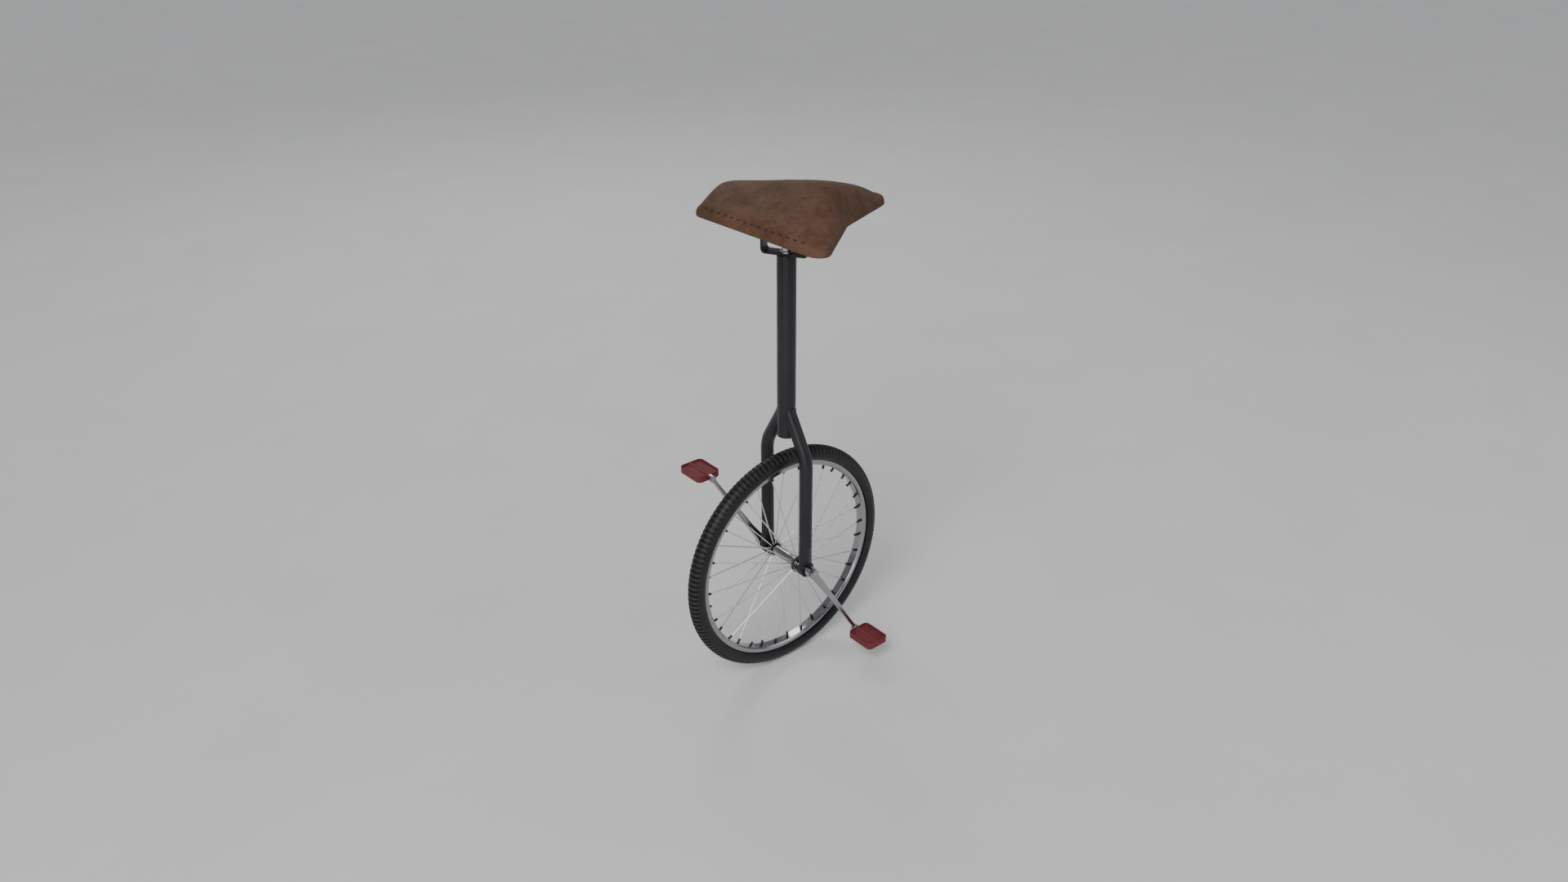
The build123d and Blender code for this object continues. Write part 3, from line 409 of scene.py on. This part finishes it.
def add_tyre(material):
    rows = tread_rows()
    columns = [(lug + at, top) for lug in range(LUGS) for at, top in LUG_COLUMNS]
    section = []
    for angle, gap, ring in rows:
        a = math.radians(angle)
        section.append((math.sin(a), math.cos(a), gap, ring))
    shelf = RING_R + SECTION_R * section[-1][1]
    throat = RING_R - math.sqrt(CAVITY_R ** 2 - BEAD_INNER ** 2)
    inner = [(BEAD_OUTER, shelf), (BEAD_OUTER, BEAD_FOOT), (BEAD_INNER, BEAD_FOOT)]
    start = math.atan2(BEAD_INNER, throat - RING_R)
    for step in range(CAVITY_STEPS + 1):
        a = start + (2 * math.pi - 2 * start) * step / CAVITY_STEPS
        inner.append((CAVITY_R * math.sin(a), RING_R + CAVITY_R * math.cos(a)))
    inner += [(-BEAD_INNER, BEAD_FOOT), (-BEAD_OUTER, BEAD_FOOT), (-BEAD_OUTER, shelf)]
    points = []
    for turn, top in columns:
        angle = 2 * math.pi * turn / LUGS
        cx, cz = math.cos(angle), math.sin(angle)
        for side, up, gap, ring in section:
            cut = TREAD_DEPTH * max(ring, gap * (1.0 - top))
            reach = SECTION_R - cut
            radius = RING_R + reach * up
            points.append((radius * cx, reach * side, WHEEL_R + radius * cz))
        for y, radius in inner:
            points.append((radius * cx, y, WHEEL_R + radius * cz))
    width = len(section) + len(inner)
    faces = loop_faces(len(columns), width, close_rows=True)
    tyre = mesh_object("tread_tyre", points, faces, material)
    bevel_shade(tyre, 38.0)
    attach(tyre, "wheel")
    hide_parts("tyre")


def bevel_shade(piece, degrees):
    """Marks edges sharper than the angle, so that they shade crisply."""
    bm = bmesh.new()
    bm.from_mesh(piece.data)
    bmesh.ops.recalc_face_normals(bm, faces=bm.faces)
    limit = math.radians(degrees)
    for edge in bm.edges:
        edge.smooth = edge.calc_face_angle(0.0) < limit
    bm.to_mesh(piece.data)
    bm.free()


# ------------------------------------------------------------------ saddle
# u runs along the saddle, positive at the nose, and v across it
SADDLE_YAW = math.radians(119.2)
NOSE_U, NOSE_HALF, NOSE_HEM_Z, NOSE_ROUND = 0.1153, 0.0747, 0.8093, 0.0128
REAR_U, REAR_HALF, REAR_HEM_Z, LOBE_ROUND = -0.1160, 0.1560, 0.7922, 0.0199
NOTCH_U, NOTCH_ROUND = -0.0949, 0.030
HEM_SLOPE = (NOSE_HEM_Z - REAR_HEM_Z) / (NOSE_U - REAR_U)
RIDGE = (0.84823, -0.1117, -0.598, 9.016, -29.03)    # height on the middle line by powers of u
FALL = (0.277, -0.31, 1.2)                           # sideways slope of the top by powers of u
RIDGE_SOFT = 0.023           # half width over which the ridge is rounded
ROLL_ROUND, ROLL_REAR, ROLL_NOSE = 0.0133, 0.0446, 0.006
ROLL_POWER = 2.2
LEATHER = 0.0024
EDGE_HEIGHT = 0.0108         # least height of the sides over the hem, to hide the base plate
EDGE_ROUND, EDGE_BLEND = 0.0045, 0.002
EDGE_TIGHTEN, EDGE_LEAST = 1.4, 0.0005               # how inner layers round more tightly
PAD_INSET = 0.0034
PAD_FLOOR = 0.0085           # the pad's underside over the hem plane
PAD_FOOT_SHARE = 0.97
PAD_SEARCH = (0.3, 1.0, 141)                         # shares tried for the pad's edge
STITCH_RISE = 0.0145         # distance of the seam from the hem, over the leather
STITCH_PITCH = 0.0130
STITCH_LENGTH, STITCH_R, STITCH_LIFT = 0.0050, 0.0008, 0.0004
SEAM_START, SEAM_REAR_END, SEAM_FADE = 0.018, 0.022, 0.012
SEAM_WIDTH, SEAM_DEPTH = 0.0024, 0.0012
WRINKLE_HEIGHT, WRINKLE_SCALE, WRINKLE_FADE = 0.0011, 17.0, 0.03
# the hem's turned-under edge: distance in from the outline, and height over the hem
HEM_LIPS = ((0.0006, -0.0012), (0.0030, -0.0022), (0.0075, -0.0014),
            (0.0088, -0.0002), (0.0076, 0.0009), (0.0034, 0.0006))
OUTLINE_STEPS = 300
HEART = Vector((-0.012, 0.0))                        # a point that sees the whole outline


def to_world(u, v, z):
    return Vector((u * math.cos(SADDLE_YAW) - v * math.sin(SADDLE_YAW),
                   u * math.sin(SADDLE_YAW) + v * math.cos(SADDLE_YAW), z))


def hem_z(u):
    return REAR_HEM_Z + HEM_SLOPE * (u - REAR_U)


def rounded_outline(corners):
    """An even closed outline through corners given as (u, v, radius), with arcs at each."""
    dense = []
    count = len(corners)
    for i, (u, v, radius) in enumerate(corners):
        here = Vector((u, v))
        before = (Vector(corners[i - 1][:2]) - here).normalized()
        after = (Vector(corners[(i + 1) % count][:2]) - here).normalized()
        turn = before.angle(after)
        middle = here + (before + after).normalized() * radius / math.sin(turn / 2)
        spoke = here + before * radius / math.tan(turn / 2) - middle
        sweep = math.pi - turn
        sign = 1.0 if before.x * after.y - before.y * after.x < 0 else -1.0
        arc_steps = max(2, int(sweep / math.radians(4)))
        for step in range(arc_steps + 1):
            angle = sign * sweep * step / arc_steps
            c, s = math.cos(angle), math.sin(angle)
            dense.append(middle + Vector((spoke.x * c - spoke.y * s, spoke.x * s + spoke.y * c)))
    dense = np.array([tuple(p) for p in dense])
    ring = np.vstack([dense, dense[:1]])
    along = np.concatenate([[0.0], np.cumsum(np.linalg.norm(np.diff(ring, axis=0), axis=1))])
    even = np.linspace(0.0, along[-1], OUTLINE_STEPS, endpoint=False)
    return np.stack([np.interp(even, along, ring[:, 0]), np.interp(even, along, ring[:, 1])], 1)


OUTLINE = rounded_outline([
    (NOSE_U, -NOSE_HALF, NOSE_ROUND), (NOSE_U, NOSE_HALF, NOSE_ROUND),
    (REAR_U, REAR_HALF, LOBE_ROUND), (NOTCH_U, 0.0, NOTCH_ROUND),
    (REAR_U, -REAR_HALF, LOBE_ROUND)])


def crown(u, v):
    """Height of the padded top well inside the edge, for arrays of u and v."""
    ridge = sum(part * u ** power for power, part in enumerate(RIDGE))
    fall = sum(part * u ** power for power, part in enumerate(FALL))
    return ridge - fall * (np.sqrt(v * v + RIDGE_SOFT ** 2) - RIDGE_SOFT)


def edge_distance(points):
    """Distance of each point to the whole outline, to the rear V and to the nose."""
    start = OUTLINE
    run = np.roll(OUTLINE, -1, axis=0) - start
    offset = points[:, None] - start[None]
    share = np.clip((offset * run).sum(-1) / (run * run).sum(-1), 0.0, 1.0)
    edge = np.linalg.norm(offset - share[..., None] * run, axis=-1).min(1)
    rear_run = Vector((REAR_U - NOTCH_U, REAR_HALF)).normalized()
    u, v = points[:, 0], np.abs(points[:, 1])
    return edge, np.abs((u - NOTCH_U) * rear_run.y - v * rear_run.x), NOSE_U - u


def roll(distance, radius):
    """0 at the edge rising to 1 at the radius, steeply and then gently."""
    share = np.clip(distance / radius, 0.0, 1.0)
    return np.sqrt(np.clip(1.0 - (1.0 - share) ** ROLL_POWER, 0.0, 1.0))


def saddle_height(points, inset=0.0):
    edge, rear, nose = (distance - inset for distance in edge_distance(points))
    hem = hem_z(points[:, 0])
    top = crown(points[:, 0], points[:, 1]) - inset
    dome = (top - hem) * roll(edge, ROLL_ROUND) * roll(rear, ROLL_REAR) * roll(nose, ROLL_NOSE)
    close = roll(edge, max(EDGE_ROUND - EDGE_TIGHTEN * inset, EDGE_LEAST))
    side = (EDGE_HEIGHT - inset) * close
    return hem + 0.5 * (dome + side + np.sqrt((dome - side) ** 2 + (EDGE_BLEND * close) ** 2))


def ring_points(share, inset):
    """The outline drawn in by the inset and then shrunk to a share about the heart."""
    heart = np.array(HEART)
    spokes = OUTLINE - heart
    length = np.linalg.norm(spokes, axis=1, keepdims=True)
    return heart + spokes * (share * (length - inset) / length)


# sizes of the rings that make up the dome, close together where the side is steep
RING_SHARES = [1.0, 0.9985, 0.995, 0.989, 0.981, 0.971, 0.959, 0.945, 0.929, 0.911, 0.89, 0.866,
               0.838, 0.805, 0.765, 0.72, 0.665, 0.60, 0.53, 0.45, 0.36, 0.27, 0.18, 0.09]


def seam_sink(points, z):
    """Presses a shallow channel into the sides where the seam runs, puckered at each stitch."""
    edge, rear, nose = edge_distance(points)
    reach = np.hypot(edge, z - hem_z(points[:, 0]))
    near = np.exp(-((reach - STITCH_RISE) / SEAM_WIDTH) ** 2)
    clear = np.clip(np.minimum(rear - SEAM_REAR_END, nose) / SEAM_FADE, 0.0, 1.0)
    along = np.hypot(points[:, 0] - NOSE_U, np.abs(points[:, 1]) - NOSE_HALF)
    pucker = 0.62 + 0.38 * np.cos(2 * math.pi * (along - SEAM_START) / STITCH_PITCH)
    return z - SEAM_DEPTH * near * clear * pucker


def wrinkle(points, z):
    """Slow unevenness of a hand-stretched hide."""
    places = [Vector((u * WRINKLE_SCALE, v * WRINKLE_SCALE, 3.1)) for u, v in points]
    lift = np.array([noise.fractal(place, 1.0, 2.0, 3) for place in places])
    edge = edge_distance(points)[0]
    return z + WRINKLE_HEIGHT * lift * np.clip(edge / WRINKLE_FADE, 0.1, 1.0)


def dome_layer(inset, wrinkled):
    """The rings of one dome from its edge inwards, and its middle point."""
    layers = []
    for share in RING_SHARES:
        flat = ring_points(share, inset)
        z = saddle_height(flat, inset)
        if wrinkled:
            z = wrinkle(flat, seam_sink(flat, z))
        layers.append([to_world(u, v, h) for (u, v), h in zip(flat, z)])
    middle = np.array([tuple(HEART)])
    z = saddle_height(middle, inset)
    return layers, to_world(middle[0][0], middle[0][1], float(z[0]))


def lip_layer(inset, rise):
    flat = ring_points(1.0, inset)
    return [to_world(u, v, hem_z(u) + rise) for u, v in flat]


def closed_shell(layers, top, bottom_layers, bottom):
    """Faces of a closed body: a domed top, rings round its edge, and a domed or flat underside."""
    rings = list(reversed(layers)) + bottom_layers
    points = [top]
    for ring in rings:
        points += ring
    points.append(bottom)
    count = OUTLINE_STEPS
    faces = [(0, 1 + j, 1 + (j + 1) % count) for j in range(count)]
    faces += loop_faces(len(rings), count, first=1)
    last = 1 + (len(rings) - 1) * count
    faces += [(len(points) - 1, last + (j + 1) % count, last + j) for j in range(count)]
    return points, faces


def add_cover(material):
    outer, outer_top = dome_layer(0.0, True)
    inner, inner_top = dome_layer(LEATHER, False)
    lips = [lip_layer(inset, rise) for inset, rise in HEM_LIPS]
    points, faces = closed_shell(outer, outer_top, lips + inner, inner_top)
    cover = mesh_object("leather_cover", points, faces, material)
    bevel_shade(cover, 180.0)
    smooth = cover.modifiers.new("rounding", "SUBSURF")
    smooth.levels = 1
    smooth.render_levels = 1
    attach(cover, "saddle")
    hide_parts("saddle_cover")


def pad_reach():
    """How far out on each spoke the pad's dome is still above its underside, as a share."""
    shares = np.linspace(*PAD_SEARCH)
    clear = []
    for share in shares:
        flat = ring_points(share, PAD_INSET)
        clear.append(saddle_height(flat, PAD_INSET) - hem_z(flat[:, 0]) >= PAD_FLOOR)
    last = len(shares) - 1 - np.argmax(np.array(clear)[::-1], axis=0)
    return shares[last][:, None]


def add_pad(material):
    heart = np.array(HEART)
    rim_spokes = (ring_points(1.0, PAD_INSET) - heart) * pad_reach()
    layers = []
    for share in RING_SHARES:
        flat = heart + rim_spokes * share
        z = np.maximum(saddle_height(flat, PAD_INSET), hem_z(flat[:, 0]) + PAD_FLOOR)
        layers.append([to_world(u, v, h) for (u, v), h in zip(flat, z)])
    top = to_world(HEART.x, HEART.y, float(saddle_height(heart[None], PAD_INSET)[0]))
    foot = [to_world(u, v, hem_z(u) + PAD_FLOOR) for u, v in heart + rim_spokes * PAD_FOOT_SHARE]
    bottom = to_world(HEART.x, HEART.y, hem_z(HEART.x) + PAD_FLOOR)
    points, faces = closed_shell(layers, top, [foot], bottom)
    pad = mesh_object("seat_pad", points, faces, material)
    bevel_shade(pad, 60.0)
    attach(pad, "saddle")
    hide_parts("foam_pad")


def seam_path(sign):
    """Start and end of each stitch on one side, on the leather, from the nose to the rear lobe."""
    run = Vector((REAR_U - NOSE_U, REAR_HALF - NOSE_HALF))
    count = int((run.length - SEAM_START - SEAM_REAR_END) / STITCH_PITCH)
    run.normalize()
    inward = Vector((-abs(run.y), run.x))
    depth = np.linspace(0.0, ROLL_ROUND * 1.5, 200)
    ends = []
    for number in range(count):
        for shift in (-STITCH_LENGTH / 2, STITCH_LENGTH / 2):
            at = Vector((NOSE_U, NOSE_HALF)) + run * (SEAM_START + number * STITCH_PITCH + shift)
            line = np.array([(at.x + inward.x * d, sign * (at.y + inward.y * d)) for d in depth])
            z = seam_sink(line, saddle_height(line))
            reach = np.hypot(depth, z - hem_z(line[:, 0]))
            spot = int(np.argmax(reach >= STITCH_RISE))
            out = line[spot] - STITCH_LIFT * np.array((inward.x, sign * inward.y))
            ends.append(to_world(out[0], out[1], float(z[spot]) + STITCH_LIFT))
    return ends


STITCH_SIDES = 8
# place along a stitch, in its radius before 0 and after 1, and thickness there
STITCH_ROWS = ((-0.9, 0.0), (-0.6, 0.7), (0.0, 1.0), (0.5, 1.12), (1.0, 1.0), (1.6, 0.7), (1.9, 0.0))


def capsule(bm, start, end, radius):
    """A short round-ended bar."""
    run = end - start
    turn = run.to_track_quat("Z", "Y").to_matrix().to_4x4()
    rings = []
    for at, wide in STITCH_ROWS:
        along = run.length * min(max(at, 0.0), 1.0) + radius * (min(at, 0.0) + max(at - 1.0, 0.0))
        ring = []
        for k in range(STITCH_SIDES):
            a = 2 * math.pi * k / STITCH_SIDES
            spot = Vector((radius * wide * math.cos(a), radius * wide * math.sin(a), along))
            ring.append(bm.verts.new(Matrix.Translation(start) @ turn @ spot))
            if wide == 0.0:
                break
        rings.append(ring)
    for first, second in zip(rings, rings[1:]):
        for k in range(STITCH_SIDES):
            n = (k + 1) % STITCH_SIDES
            if len(first) == 1:
                bm.faces.new((first[0], second[n], second[k]))
            elif len(second) == 1:
                bm.faces.new((first[k], first[n], second[0]))
            else:
                bm.faces.new((first[k], first[n], second[n], second[k]))


def add_stitches(material):
    bm = bmesh.new()
    for sign in (-1.0, 1.0):
        path = seam_path(sign)
        for start, end in zip(path[0::2], path[1::2]):
            capsule(bm, start, end, STITCH_R)
    bmesh.ops.recalc_face_normals(bm, faces=bm.faces)
    mesh = bpy.data.meshes.new("saddle_stitches")
    bm.to_mesh(mesh)
    bm.free()
    for polygon in mesh.polygons:
        polygon.use_smooth = True
    mesh.materials.append(material)
    piece = bpy.data.objects.new("saddle_stitches", mesh)
    bpy.context.scene.collection.objects.link(piece)
    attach(piece, "saddle")


# ------------------------------------------------------------------ fork welds
FOOT_R = 0.0147              # the turned-down foot of the seat tube
LEG_R = 0.01075
LEG_SLANT = 0.59
LEG_CROWN_Z, LEG_CROWN_Y = 0.463, 0.0162
WELD_R = 0.0013
WELD_STEPS, WELD_SIDES = 96, 10
WELD_SWELL, WELD_RIPPLE = 0.16, 4.0                  # share of the radius, and steps in a ripple
WELD_LEAD = 0.05             # how far below the crown the leg's side lines start


def weld_bead(name, path, radius, material, body):
    """A rippled bead along a closed path."""
    count = len(path)
    points = []
    for i, spot in enumerate(path):
        along = (path[(i + 1) % count] - path[i - 1]).normalized()
        across = along.cross(Vector((0.0, 0.0, 1.0))).normalized()
        up = across.cross(along).normalized()
        swell = radius * (1.0 + WELD_SWELL * math.cos(2 * math.pi * i / WELD_RIPPLE))
        for k in range(WELD_SIDES):
            a = 2 * math.pi * k / WELD_SIDES
            points.append(spot + (across * math.cos(a) + up * math.sin(a)) * swell)
    piece = mesh_object(name, points, loop_faces(count, WELD_SIDES, close_rows=True), material)
    bevel_shade(piece, 180.0)
    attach(piece, body)


def crown_curve(side):
    """The closed curve where a slanted leg meets the seat tube."""
    along = Vector((0.0, -side * LEG_SLANT, 1.0)).normalized()
    across = Vector((1.0, 0.0, 0.0))
    over = along.cross(across)
    start = Vector((0.0, side * LEG_CROWN_Y, LEG_CROWN_Z)) - along * WELD_LEAD
    path = []
    for k in range(WELD_STEPS):
        a = 2 * math.pi * k / WELD_STEPS
        line = start + (across * math.cos(a) + over * math.sin(a)) * LEG_R
        reach_a = along.x ** 2 + along.y ** 2
        reach_b = 2 * (line.x * along.x + line.y * along.y)
        reach_c = line.x ** 2 + line.y ** 2 - FOOT_R ** 2
        t = (-reach_b - math.sqrt(reach_b ** 2 - 4 * reach_a * reach_c)) / (2 * reach_a)
        path.append(line + along * t)
    return path


def add_welds(material):
    for name, side in (("left", -1.0), ("right", 1.0)):
        weld_bead(f"{name}_crown_weld", crown_curve(side), WELD_R, material, "frame")


# ------------------------------------------------------------------ stage and light
FLOOR_HALF, FLOOR_DROP = 30.0, 0.0006


def add_floor(material):
    size = FLOOR_HALF
    points = [(-size, -size, 0.0), (size, -size, 0.0), (size, size, 0.0), (-size, size, 0.0)]
    floor = mesh_object("studio_floor", points, [(0, 1, 2, 3)], material)
    floor.location.z = -FLOOR_DROP


def add_area(name, place, aim, size, power, tint):
    data = bpy.data.lights.new(name, "AREA")
    data.shape = "RECTANGLE"
    data.size, data.size_y = size
    data.energy = power
    data.color = tint
    light = bpy.data.objects.new(name, data)
    light.location = place
    light.rotation_euler = (Vector(place) - Vector(aim)).to_track_quat("Z", "Y").to_euler()
    bpy.context.scene.collection.objects.link(light)


def add_sky_light(place, aim, strength, spread):
    """A wide soft light from far away, which lights the whole floor evenly."""
    data = bpy.data.lights.new("sky_light", "SUN")
    data.energy = strength
    data.angle = math.radians(spread)
    light = bpy.data.objects.new("sky_light", data)
    light.rotation_euler = (Vector(place) - Vector(aim)).to_track_quat("Z", "Y").to_euler()
    bpy.context.scene.collection.objects.link(light)


def add_lights():
    world = bpy.data.worlds.new("studio")
    world.use_nodes = True
    sky = world.node_tree.nodes["Background"]
    sky.inputs["Color"].default_value = (0.80, 0.82, 0.86, 1.0)
    sky.inputs["Strength"].default_value = 0.34
    bpy.context.scene.world = world
    middle = (0.0, 0.0, 0.45)
    add_sky_light((-2.2, -1.4, 2.8), middle, 1.25, 35.0)
    add_area("key", (-2.6, -1.4, 3.2), middle, (1.4, 1.4), 42.0, (1.0, 0.97, 0.93))
    add_area("fill", (1.9, -2.2, 1.8), middle, (1.8, 1.4), 12.0, (0.92, 0.96, 1.0))
    add_area("low_fill", (-1.9, -1.6, 0.8), (0.0, 0.0, 0.7), (1.6, 1.2), 13.0, (1.0, 0.98, 0.96))
    add_area("rim_light", (1.2, 2.8, 2.8), middle, (1.6, 0.9), 26.0, (1.0, 1.0, 1.0))


# ------------------------------------------------------------------ making
add_camera()
paint_nodes()
add_tyre(tyre_rubber())
leather = suede()
add_cover(leather)
add_stitches(thread())
add_pad(foam())
add_welds(NODE_FINISHES["frame_paint"][0])
add_floor(floor_finish())
add_lights()
